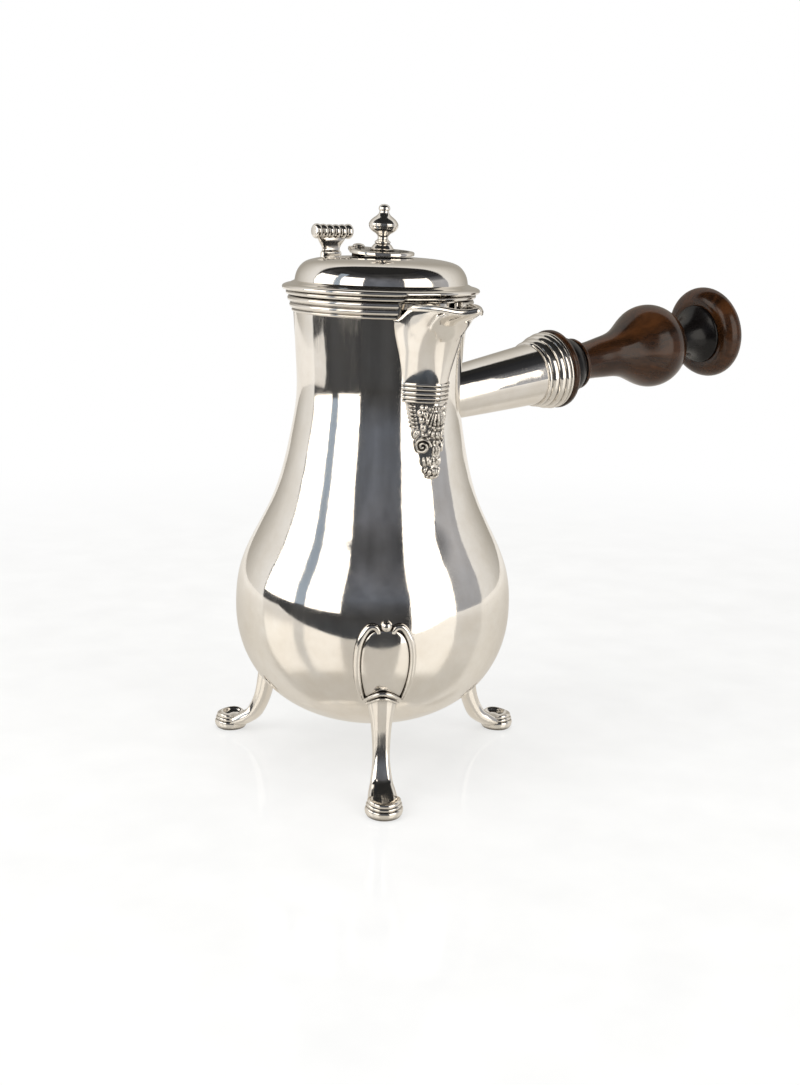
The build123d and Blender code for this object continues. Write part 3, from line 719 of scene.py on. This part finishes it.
# The socket and the ferrule, as (along, radius).
SOCKET = [(34.0, 11.15), (36.0, 11.3), (60.0, 12.8), (88.0, 14.3)]
FERRULE = [
    (86.2, 14.2), (86.4, 14.9), (87.0, 15.3), (87.7, 15.2), (88.0, 14.6), (88.3, 14.6),
    (88.8, 15.4), (89.8, 16.0), (90.8, 16.1), (91.2, 15.5), (91.5, 15.5), (92.0, 16.5),
    (93.0, 17.2), (94.0, 17.3), (94.4, 16.6), (94.7, 16.6), (95.2, 17.5), (96.0, 17.9),
    (96.8, 17.85), (97.2, 17.2), (97.5, 17.2), (97.9, 17.8), (98.6, 17.9), (99.2, 17.5),
    (99.2, 13.6)]
# The socket's inner end is cut to the neck, this far inside the vessel's outline.
SOCKET_CUT, SOCKET_SINK = 37.2, 0.5

bm = lathe([(radius, along) for along, radius in fair(SOCKET, 10)], steps=120)
bmesh.ops.transform(bm, matrix=handle_way, verts=bm.verts)
for v in bm.verts:
    if v.co.x < SOCKET_CUT:
        radius = vessel_radius(v.co.z) - SOCKET_SINK
        v.co.x = max(v.co.x, sqrt(max(radius ** 2 - v.co.y ** 2, 0)))
face_open_tube(bm)
place("handle_socket_tube", bm, "pot", ["handle_socket"], [raised_silver], crease=60)

bm = lathe([(radius, along) for along, radius in FERRULE], steps=144)
face_open_tube(bm)
place("ferrule_moulding", bm, "pot", ["socket_ferrule"], [moulded_silver], way=handle_way)

# Turned outlines, as (along, radius): brown flange, black collar, brown bead and bulb, black
# neck, brown knob.
TENON = [(64.0, 0.0), (64.0, 12.3), (99.25, 13.6)]
FLANGE_TURNING = [
    (99.25, 17.7), (99.7, 18.25), (100.8, 18.5), (102.0, 18.35), (102.9, 17.6), (103.1, 14.4)]
COLLAR_TURNING = fair([
    (103.1, 13.4), (104.2, 13.7), (106.5, 13.95), (109.0, 13.6), (111.5, 12.5), (113.3, 11.4)], 5)
BEAD_TURNING = [(113.4, 11.8), (113.9, 12.1), (114.6, 12.1), (115.1, 11.8), (115.3, 9.6)]
BULB_TURNING = fair([
    (115.4, 9.1), (118.6, 8.85), (122.4, 8.8), (131.7, 9.7), (140.2, 10.9), (147.0, 13.4),
    (153.7, 17.1), (158.6, 19.4), (163.2, 20.2), (168.5, 19.5), (173.6, 16.9), (177.6, 13.0),
    (180.5, 9.2)], 7)
NECK_TURNING = fair([
    (180.7, 8.4), (183.0, 7.7), (187.0, 7.9), (191.0, 8.9), (194.2, 10.6), (196.3, 12.6),
    (197.2, 13.8)], 6) + [(197.7, 14.3), (198.2, 14.4), (198.5, 14.0)]
KNOB_TURNING = [(198.6, 14.5)] + fair([
    (198.3, 15.2), (198.2, 17.0), (199.3, 19.8), (201.7, 21.9), (204.6, 22.6), (207.3, 21.8),
    (209.3, 18.8), (210.7, 13.6), (211.4, 7.5), (211.6, 0.0)], 6)
# The stain covers these stretches of the handle, out to the radius where the knob begins.
BLACK_COLLAR = (103.1, 113.37)
BLACK_NECK = (180.6, 198.58)
BLACK_REACH = 14.45


def wood_material(name, light, dark, gloss, coat):
    """Turned close-grained fruitwood, with its grain along the handle, under a worn polish."""
    material, tree, point = new_material(name)
    along = add_node(tree, "Mapping", {
        "Vector": point, "Scale": (0.07, 1.0, 1.0), "Rotation": (0, radians(HANDLE_RISE), 0)})
    grain = add_node(tree, "TexNoise", {
        "Vector": along, "Scale": 620.0, "Detail": 5.0, "Roughness": 0.6, "Distortion": 0.3})
    broad = add_node(tree, "TexNoise", {
        "Vector": along, "Scale": 110.0, "Detail": 3.0, "Distortion": 0.8})
    both = add_node(tree, "Math", {0: grain, 1: 0.45, 2: broad}, operation="MULTIPLY_ADD")
    tone = add_node(tree, "ValToRGB", {"Fac": both}, stops=[(0.45, dark), (0.95, light)])
    wear = add_node(tree, "TexNoise", {"Vector": point, "Scale": 160.0, "Detail": 4.0})
    rough = add_node(tree, "MapRange", {
        "Value": wear, "From Min": 0.3, "From Max": 0.7, "To Min": gloss[0], "To Max": gloss[1]})
    dents = add_node(tree, "Bump", {"Height": both, "Strength": 0.5, "Distance": 0.00006})
    surface = add_node(tree, "BsdfPrincipled", {
        "Base Color": tone, "Roughness": rough, "IOR": 1.5, "Specular IOR Level": 0.25,
        "Coat Weight": coat, "Coat Roughness": 0.12, "Normal": dents})
    add_node(tree, "OutputMaterial", {"Surface": surface})
    return material


# Fruitwood stained a warm brown and wax polished: soft highlights, with fine grain lines.
brown_wood = wood_material("polished brown fruitwood", "#402511", "#120904", (0.13, 0.22), 0.22)
# The same wood stained black, and rubbed to a duller shine.
black_wood = wood_material("ebonised fruitwood", "#0e0b0a", "#050404", (0.2, 0.32), 0.1)

outline = (TENON + FLANGE_TURNING + COLLAR_TURNING + BEAD_TURNING + BULB_TURNING
           + NECK_TURNING + KNOB_TURNING)
bm = lathe([(radius, along) for along, radius in outline], steps=144)
face_out(bm)
for f in bm.faces:
    middle = f.calc_center_median()
    stained = any(low < middle.z < high for low, high in (BLACK_COLLAR, BLACK_NECK))
    f.material_index = 1 if stained and middle.xy.length < BLACK_REACH else 0
place("turned_handle", bm, "pot", ["wooden_handle"], [brown_wood, black_wood],
      slot="fruitwood", crease=40, way=handle_way)


# ---- Lid ----
# A low dome of raised sheet on a moulded flange, with a hole in the middle to stir the
# chocolate through. The bezel under it keeps it centred in the mouth.

STIRRING_HOLE = 6.3
DOME_OUTSIDE = fair([
    (STIRRING_HOLE, 223.75), (12, 223.6), (19, 223.25), (25.0, 222.75), (29.6, 221.9),
    (32.9, 220.6), (35.2, 218.3), (36.5, 215.6), (37.0, 212.95)], 8)
DOME_INSIDE = [
    (36.0, 212.95), (35.5, 215.4), (34.2, 217.7), (32.2, 219.7), (29.2, 220.9), (25.0, 221.7),
    (12.0, 222.6), (STIRRING_HOLE, 222.7)]
FLANGE = fair([(36.9, 213.0), (37.9, 212.55), (39.2, 211.95), (40.6, 211.6), (41.7, 211.15)], 4) + [
    (42.1, 210.85), (42.3, 210.3), (42.15, 209.7), (41.7, 209.25), (34.3, 209.2), (34.1, 209.4),
    (34.1, 212.8), (34.3, 213.0)]

for name, node, outline in (("lid_dome_sheet", "lid_dome", DOME_OUTSIDE + DOME_INSIDE),
                            ("lid_edge_moulding", "lid_flange", FLANGE)):
    bm = lathe(outline, steps=192, closed=True)
    face_out(bm)
    place(name, bm, "lid", [node], [raised_silver], crease=60)


# ---- Swinging cover and finial ----
# A drop-shaped plate turns on a rivet over the stirring hole. The turned finial on it is the
# grip, and stands square to the plate, so it leans a little with it.

COVER_Z = 224.5
COVER_TILT = 2.8
cover_way = Matrix.Translation((0, 0, COVER_Z)) @ Matrix.Rotation(radians(COVER_TILT), 4, "X")
# Radius of the disc over the hole and of the ear round the rivet, and the distance between.
DISC, EAR, EAR_OUT = 13.8, 4.6, 18.0
# Across the plate's edge, from its underside up: how far in, and height.
COVER_EDGE = [
    (0.5, 0.1), (0.1, 0.22), (0, 0.5), (0, 1.15), (0.1, 1.45), (0.35, 1.63), (0.8, 1.7),
    (2.2, 1.7)]


def cover_outline(inset, height):
    """The drop: a disc over the hole drawn out to the ear that holds the rivet."""
    disc, ear = DISC - inset, EAR - inset
    lean = pi / 2 - np.arccos((disc - ear) / EAR_OUT)
    points = []
    for step in range(73):
        turn = pi - lean + (pi + 2 * lean) * step / 72
        points.append((disc * cos(turn), disc * sin(turn), height))
    for step in range(25):
        turn = lean + (pi - 2 * lean) * step / 24
        points.append((ear * cos(turn), EAR_OUT + ear * sin(turn), height))
    return points


bm = bmesh.new()
skin(bm, [loop_of(bm, cover_outline(inset, height)) for inset, height in COVER_EDGE])
face_out(bm)
# The underside is in the dark silver: painted shade in the gap between the cover and the lid.
for f in bm.faces:
    f.material_index = 1 if f.normal.z < -0.9 else 0
place("cover_plate", bm, "cover", ["swivel_cover"], [raised_silver, painted_shade_silver], crease=40,
      way=cover_way)

FINIAL = (
    [(0, 1.6), (5.0, 1.6), (5.2, 1.8), (5.2, 2.35), (4.9, 2.5)]
    + fair([(4.75, 2.7), (4.1, 3.6), (3.3, 4.4), (3.0, 4.55)], 3)
    + [(3.25, 4.7), (3.42, 5.1), (3.25, 5.5), (2.9, 5.65)]
    + fair([(2.7, 5.85), (2.25, 6.5), (2.2, 7.3), (2.9, 8.4), (4.3, 9.3), (5.6, 10.4),
            (6.2, 11.6)], 5)
    + [(6.28, 11.75), (6.18, 11.95), (6.3, 12.15), (6.3, 12.45), (6.18, 12.6), (6.22, 12.75)]
    + fair([(6.1, 13.1), (5.3, 14.3), (3.9, 15.5), (2.6, 16.6), (2.1, 17.5), (2.0, 18.1)], 5)
    + [(2.15, 18.35), (2.4, 18.6), (2.45, 19.1), (2.35, 19.65), (2.0, 20.2), (1.2, 20.75),
       (0, 20.95)])
bm = lathe(FINIAL, steps=96)
face_out(bm)
place("turned_finial", bm, "cover", ["finial"], [moulded_silver], way=cover_way)

RIVET = [(0, -4.2), (2.1, -4.2), (2.1, -3.42), (1.2, -3.4), (1.2, 1.6), (2.5, 1.65),
         (2.65, 1.85), (2.6, 2.15), (2.3, 2.55), (1.7, 2.85), (0.9, 3.05), (0, 3.1)]
bm = lathe(RIVET, steps=48)
face_out(bm)
place("cover_rivet", bm, "lid", ["cover_pivot"], [moulded_silver],
      way=cover_way @ Matrix.Translation((0, EAR_OUT, 0)))


# ---- Thumbpiece and hinge ----
# A fluted roll on a waisted stem stands over the hinge, and opens the lid when it is pressed
# back. The hinge's leaves, knuckles and pins are plain drawn silver.

THUMB_Y = 38.9
ROLL_Z = 232.9
ROLL_LENGTH = 19.5
ROLL_LOBES = 6
# One lobe: how far along it, and radius. The lobes grow a little towards the ends.
LOBE = [(0.0, 2.1), (0.08, 2.7), (0.25, 3.15), (0.5, 3.3), (0.75, 3.15), (0.92, 2.7)]
# height, half width, front and back of the stem
STEM = [
    (212.0, 6.3, 38.0, 41.6), (216.0, 5.6, 38.4, 41.3), (220.0, 5.3, 38.5, 41.2),
    (222.4, 5.2, 38.1, 41.4), (223.8, 5.0, 38.0, 41.5), (224.6, 4.5, 38.7, 41.0),
    (225.6, 4.6, 38.8, 41.0), (227.5, 5.7, 38.5, 41.2), (229.2, 6.8, 38.1, 41.2),
    (230.8, 7.6, 38.2, 41.0)]
STEM_SIDES = 40

bm = bmesh.new()
loops = []
for height, half, near, far in fair(STEM, 5):
    middle, deep = (near + far) / 2, (far - near) / 2
    ring = []
    for step in range(STEM_SIDES):
        turn = 2 * pi * step / STEM_SIDES
        c, s = cos(turn), sin(turn)
        ring.append((half * abs(c) ** 0.5 * (1 if c > 0 else -1),
                     middle + deep * abs(s) ** 0.7 * (1 if s > 0 else -1), height))
    loops.append(loop_of(bm, ring))
skin(bm, loops)
roll = [(0, -ROLL_LENGTH / 2)]
for lobe in range(ROLL_LOBES):
    for share, radius in LOBE:
        along = (lobe + share) * ROLL_LENGTH / ROLL_LOBES - ROLL_LENGTH / 2
        roll.append((radius * (0.94 + 0.1 * (2 * along / ROLL_LENGTH) ** 2), along))
roll += [(2.2, ROLL_LENGTH / 2), (0, ROLL_LENGTH / 2)]
rolled = lathe(roll, steps=48)
bmesh.ops.transform(rolled, verts=rolled.verts, matrix=Matrix.Translation((0, THUMB_Y, ROLL_Z))
                    @ Matrix.Rotation(radians(90), 4, "Y"))
join(bm, rolled)
face_out(bm)
place("fluted_thumbpiece", bm, "lid", ["thumbpiece"], [cast_silver])

# The washer is in the dark silver, painted shade under the cover; the rest are drawn silver.
for node in ("lid_bezel", "hinge_lid_leaf", "hinge_body_leaf", "hinge_pin", "handle_pin",
             "pivot_washer"):
    finishes = bpy.data.objects[node].data.materials
    finishes.clear()
    finishes.append(painted_shade_silver if node == "pivot_washer" else moulded_silver)


# ---- Studio ----
# White paper sweep, two tall softboxes on the left, one on the right with a narrow wing, a
# grey curtain beyond it, and a dark room behind the camera: what polished silver shows.

AXIS = pot_axis * 0.001
VIEW_TURN = 36.0
to_camera = Vector((-sin(radians(VIEW_TURN)), -cos(radians(VIEW_TURN)), 0))
to_right = Vector((cos(radians(VIEW_TURN)), -sin(radians(VIEW_TURN)), 0))
# A colour ramp holds no more than 1, so strengths are kept in it as shares of this.
FULL_GLOW = 4


def heading(azimuth):
    """Level direction from the pot, counted from the camera towards the right."""
    return to_camera * cos(radians(azimuth)) + to_right * sin(radians(azimuth))


def glow_material(name, levels, mottle):
    """What the silver reflects: a glow of (height, colour, strength), with clouds in it."""
    material, tree, point = new_material(name)
    lowest, highest = levels[0][0], levels[-1][0]
    height = add_node(tree, "SeparateXYZ", {0: point}).outputs["Z"]
    share = add_node(tree, "MapRange", {
        "Value": height, "From Min": lowest * 0.001, "From Max": highest * 0.001})
    places = [(level - lowest) / (highest - lowest) for level, tone, strength in levels]
    tone = add_node(tree, "ValToRGB", {"Fac": share},
                    stops=[(place, row[1]) for place, row in zip(places, levels)])
    strength = add_node(tree, "ValToRGB", {"Fac": share},
                        stops=[(place, row[2] / FULL_GLOW) for place, row in zip(places, levels)])
    clouds = add_node(tree, "TexNoise", {"Vector": point, "Scale": 2.2, "Detail": 3.0})
    drift = add_node(tree, "MapRange", {
        "Value": clouds, "From Min": 0.3, "From Max": 0.7,
        "To Min": FULL_GLOW * (1 - mottle), "To Max": FULL_GLOW * (1 + mottle)})
    level = add_node(tree, "Math", {0: strength, 1: drift}, operation="MULTIPLY")
    glow = add_node(tree, "Emission", {"Color": tone, "Strength": level})
    add_node(tree, "OutputMaterial", {"Surface": glow})
    return material


def stage_piece(name, bm, material):
    """A studio object that only reflections show."""
    panel = add_mesh(name, bm)
    panel.data.materials.append(material)
    panel.visible_camera = False
    panel.visible_diffuse = False
    panel.visible_shadow = False
    panel.visible_transmission = False


def card(name, distance, left, right, material):
    """A curved panel round the pot, between edges of (azimuth, lowest, highest)."""
    steps = max(2, int((right[0] - left[0]) / 3))
    edges = [Vector(left).lerp(Vector(right), step / steps) for step in range(steps + 1)]
    lines = [[heading(edge[0]) * distance + Vector((0, 0, edge[end])) for edge in edges]
             for end in (1, 2)]
    stage_piece(name, sweep_levels(lines), material)


# From the floor up; the room is bluish where daylight reaches it.
room = glow_material("dark studio", [
    (-600, "#a8b8cc", 0.2), (0, "#c0c0c2", 0.11), (350, "#bcc4d4", 0.25), (800, "#bcc0cc", 0.24),
    (1300, "#c4c4c6", 0.08), (2365, "#c4c4c6", 0.03)], 0.3)
box_light = glow_material("softbox cloth", [(-100, "#fffaf2", 2.1), (733, "#fffaf2", 2.1)], 0.06)
haze = glow_material("lit wall", [(-600, "#daebff", 0.45), (2365, "#daebff", 0.58)], 0.15)
curtain = glow_material("grey curtain", [
    (-600, "#c6c8ce", 0.6), (0, "#c6c8ce", 0.68), (620, "#ccccd0", 0.72), (760, "#c0c2c8", 0.3),
    (1100, "#b8bcc6", 0.07), (2365, "#b8bcc6", 0.03)], 0.12)
card("room_front", 1100, (-98, -600, 2365), (72, -600, 2365), room)
card("wall_between", 1000, (-66, 95, 1200), (-52, 95, 1200), haze)
card("softbox_far_left", 790, (-96, 98, 733), (-64, 88, 733), box_light)
card("softbox_left", 790, (-54, 82, 733), (-23, 66, 733), box_light)
card("softbox_right", 790, (32, -100, 733), (70, -100, 733), box_light)
card("softbox_right_wing", 1080, (66, -300, 620), (71.5, -300, 620), box_light)
card("room_right", 1100, (72, -600, 2365), (100, -600, 2365), curtain)

# The table's corners, (to the right, towards the camera), and its top, just under the paper.
TABLE_CORNERS = [(-1070, 200), (1500, 420), (1500, -2000), (-1070, -2000)]
TABLE_Z = -0.4
bm = bmesh.new()
spots = [to_right * side + to_camera * near for side, near in TABLE_CORNERS]
bm.faces.new([bm.verts.new((spot.x, spot.y, TABLE_Z)) for spot in spots])
table_top, tree, point = new_material("beige table")
cloth = add_node(tree, "TexNoise", {"Vector": point, "Scale": 3.0, "Detail": 3.0})
tone = add_node(tree, "ValToRGB", {"Fac": cloth}, stops=[(0.3, "#c6c0b7"), (0.7, "#d2cec6")])
board = add_node(tree, "BsdfDiffuse", {"Color": tone})
beyond = add_node(tree, "VectorMath", {0: point}, operation="LENGTH").outputs["Value"]
pale = add_node(tree, "MapRange", {"Value": beyond, "From Min": 0.25, "From Max": 0.85})
away = add_node(tree, "Mix", {
    "Factor": pale, 6: tone, 7: colour("#fbf8f4")}, data_type="RGBA").outputs[2]
fill = add_node(tree, "Emission", {"Color": away, "Strength": 0.84})
lit = add_node(tree, "AddShader", {0: board, 1: fill})
varnish = add_node(tree, "BsdfGlossy", {"Color": WHITE, "Roughness": 0.19})
waxed = add_node(tree, "MixShader", {"Fac": 0.22, 1: lit, 2: varnish})
add_node(tree, "OutputMaterial", {"Surface": waxed})
stage_piece("table_seen_in_silver", bm, table_top)

# The paper the pot stands on, which only the camera sees, fades to white further out.
floor_bm = bmesh.new()
bmesh.ops.create_grid(floor_bm, x_segments=1, y_segments=1, size=6)
floor_mesh = bpy.data.meshes.new("paper_floor")
floor_bm.to_mesh(floor_mesh)
floor_bm.free()
floor = add_object("paper_floor", floor_mesh)
floor.visible_glossy = False
paper, tree, point = new_material("white glazed board")
fibre = add_node(tree, "TexNoise", {"Vector": point, "Scale": 30.0, "Detail": 3.0})
tone = add_node(tree, "ValToRGB", {"Fac": fibre}, stops=[(0.3, "#f9f9f8"), (0.7, "#fdfdfc")])
sheet = add_node(tree, "BsdfDiffuse", {"Color": tone})
glow = add_node(tree, "Emission", {"Color": tone, "Strength": 0.95})
even = add_node(tree, "MixShader", {"Fac": 0.74, 1: sheet, 2: glow})
glaze = add_node(tree, "BsdfGlossy", {"Color": WHITE, "Roughness": 0.08})
polished = add_node(tree, "MixShader", {"Fac": 0.04, 1: even, 2: glaze})
beyond = add_node(tree, "VectorMath", {0: point}, operation="LENGTH").outputs["Value"]
fade = add_node(tree, "MapRange", {
    "Value": beyond, "From Min": 0.25, "From Max": 0.75}, interpolation_type="SMOOTHSTEP")
white = add_node(tree, "Emission", {"Color": WHITE, "Strength": 1.0})
swept = add_node(tree, "MixShader", {"Fac": fade, 1: polished, 2: white})
clear = add_node(tree, "LightPath").outputs["Is Camera Ray"]
shown = add_node(tree, "MixShader", {"Fac": clear, 1: sheet, 2: swept})
add_node(tree, "OutputMaterial", {"Surface": shown})
floor_mesh.materials.append(paper)


def lamp(name, azimuth, elevation, distance, size, power):
    """A soft lamp aimed at the pot, in degrees, metres and watts. Reflections skip it."""
    light = bpy.data.lights.new(name, "AREA")
    light.shape = "RECTANGLE"
    light.size, light.size_y = size
    light.energy = power
    holder = add_object(name, light)
    way = heading(azimuth) * cos(radians(elevation)) + Vector((0, 0, sin(radians(elevation))))
    holder.location = AXIS + Vector((0, 0, 0.12)) + way * distance
    holder.rotation_euler = (-way).to_track_quat("-Z", "Y").to_euler()
    holder.visible_glossy = False


lamp("lamp_left", -50, 38, 1.1, (0.9, 0.9), 9.0)
lamp("lamp_right", 50, 32, 1.1, (0.8, 0.9), 6.0)
lamp("lamp_over", 180, 70, 1.2, (1.2, 1.2), 8.0)

# The lit paper rises behind the pot to 69 degrees, where the dark ceiling starts.
CEILING_LEAN = 0.38
CEILING = (0.022, 0.022, 0.022, 1)
# What falls on the pot and the paper from all round.
ROOM_LIGHT = (0.42, 0.42, 0.42, 1)
world = bpy.data.worlds.new("studio")
bpy.context.scene.world = world
world.use_nodes = True
tree = world.node_tree
tree.nodes.clear()
way = add_node(tree, "TexCoord").outputs["Generated"]
behind = add_node(tree, "VectorMath", {
    0: way, 1: tuple(-to_camera)}, operation="DOT_PRODUCT").outputs["Value"]
under_ceiling = add_node(tree, "VectorMath", {
    0: way, 1: (-to_camera.x, -to_camera.y, -CEILING_LEAN)
}, operation="DOT_PRODUCT").outputs["Value"]
paper_lit = add_node(tree, "MapRange", {
    "Value": under_ceiling, "From Min": -0.03, "From Max": 0.03})
sweep = add_node(tree, "ValToRGB", {"Fac": behind},
                 stops=[(0.1, "#f6f5f3"), (0.5, "#e2dfda"), (0.9, "#aaa59c")])
sky = add_node(tree, "Mix", {
    "Factor": paper_lit, 6: CEILING, 7: sweep}, data_type="RGBA").outputs[2]
path = add_node(tree, "LightPath")
seen = add_node(tree, "Mix", {
    "Factor": path.outputs["Is Glossy Ray"], 6: ROOM_LIGHT, 7: sky}, data_type="RGBA").outputs[2]
clear = add_node(tree, "Math", {
    0: path.outputs["Is Camera Ray"], 1: path.outputs["Is Transmission Ray"]}, operation="MAXIMUM")
shown = add_node(tree, "Mix", {
    "Factor": clear, 6: seen, 7: WHITE}, data_type="RGBA").outputs[2]
back = add_node(tree, "Background", {"Color": shown, "Strength": 1.0})
add_node(tree, "OutputWorld", {"Surface": back})

CAMERA_PLACE = Vector((-364.3, -520.9, 245.4))
PITCH, ROLL = radians(12.973), radians(1.775)
onward = -to_camera * cos(PITCH) - Vector((0, 0, sin(PITCH)))
upward = to_right.cross(onward)
camera_x = to_right * cos(ROLL) + upward * sin(ROLL)
camera_y = upward * cos(ROLL) - to_right * sin(ROLL)
camera_data = bpy.data.cameras.new("camera")
camera_data.sensor_width = 36
camera_data.lens = 48.66
camera = add_object("camera", camera_data)
turn = Matrix((camera_x, camera_y, -onward)).transposed().to_4x4()
camera.matrix_world = Matrix.Translation(AXIS + CAMERA_PLACE * 0.001) @ turn
bpy.context.scene.camera = camera
bpy.context.scene.view_settings.view_transform = "Standard"
